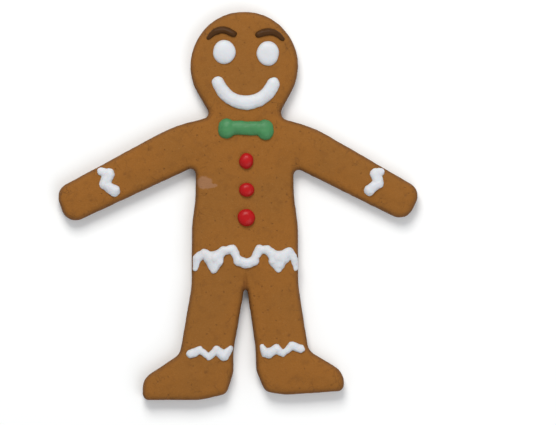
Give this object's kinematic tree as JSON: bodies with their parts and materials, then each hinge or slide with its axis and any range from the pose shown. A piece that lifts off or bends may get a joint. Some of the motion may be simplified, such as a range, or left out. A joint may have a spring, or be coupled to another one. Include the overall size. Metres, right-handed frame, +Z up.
{
  "type": "gingerbread man cookie",
  "caption": "Flat gingerbread figure with a round head, spread arms and two legs, decorated with piped sugar icing; lies face up.",
  "frame": {"origin": "on the table under the middle of the figure's outline", "axes": "+Z up, out of the iced face; +Y to the head; +X to the right as seen from above"},
  "size_m": [0.1294, 0.14, 0.0097],
  "materials": {
    "gingerbread": "matte baked gingerbread, mid brown with a slightly darker rim and a fine open crumb",
    "white_icing": "set white sugar icing, satin, with soft piped edges",
    "dark_icing": "set dark brown chocolate icing, satin",
    "green_icing": "set green sugar icing, satin",
    "red_icing": "set red sugar icing, satin to glossy domes"
  },
  "bodies": {
    "root": {"cookie": "gingerbread", "eyebrow_left": "dark_icing", "eyebrow_right": "dark_icing", "eye_left": "white_icing", "eye_right": "white_icing", "smile": "white_icing", "bow_tie": "green_icing", "button_top": "red_icing", "button_middle": "red_icing", "button_bottom": "red_icing", "cuff_left": "white_icing", "cuff_right": "white_icing", "waist_trim": "white_icing", "ankle_left": "white_icing", "ankle_right": "white_icing"}
  },
  "joints": []
}
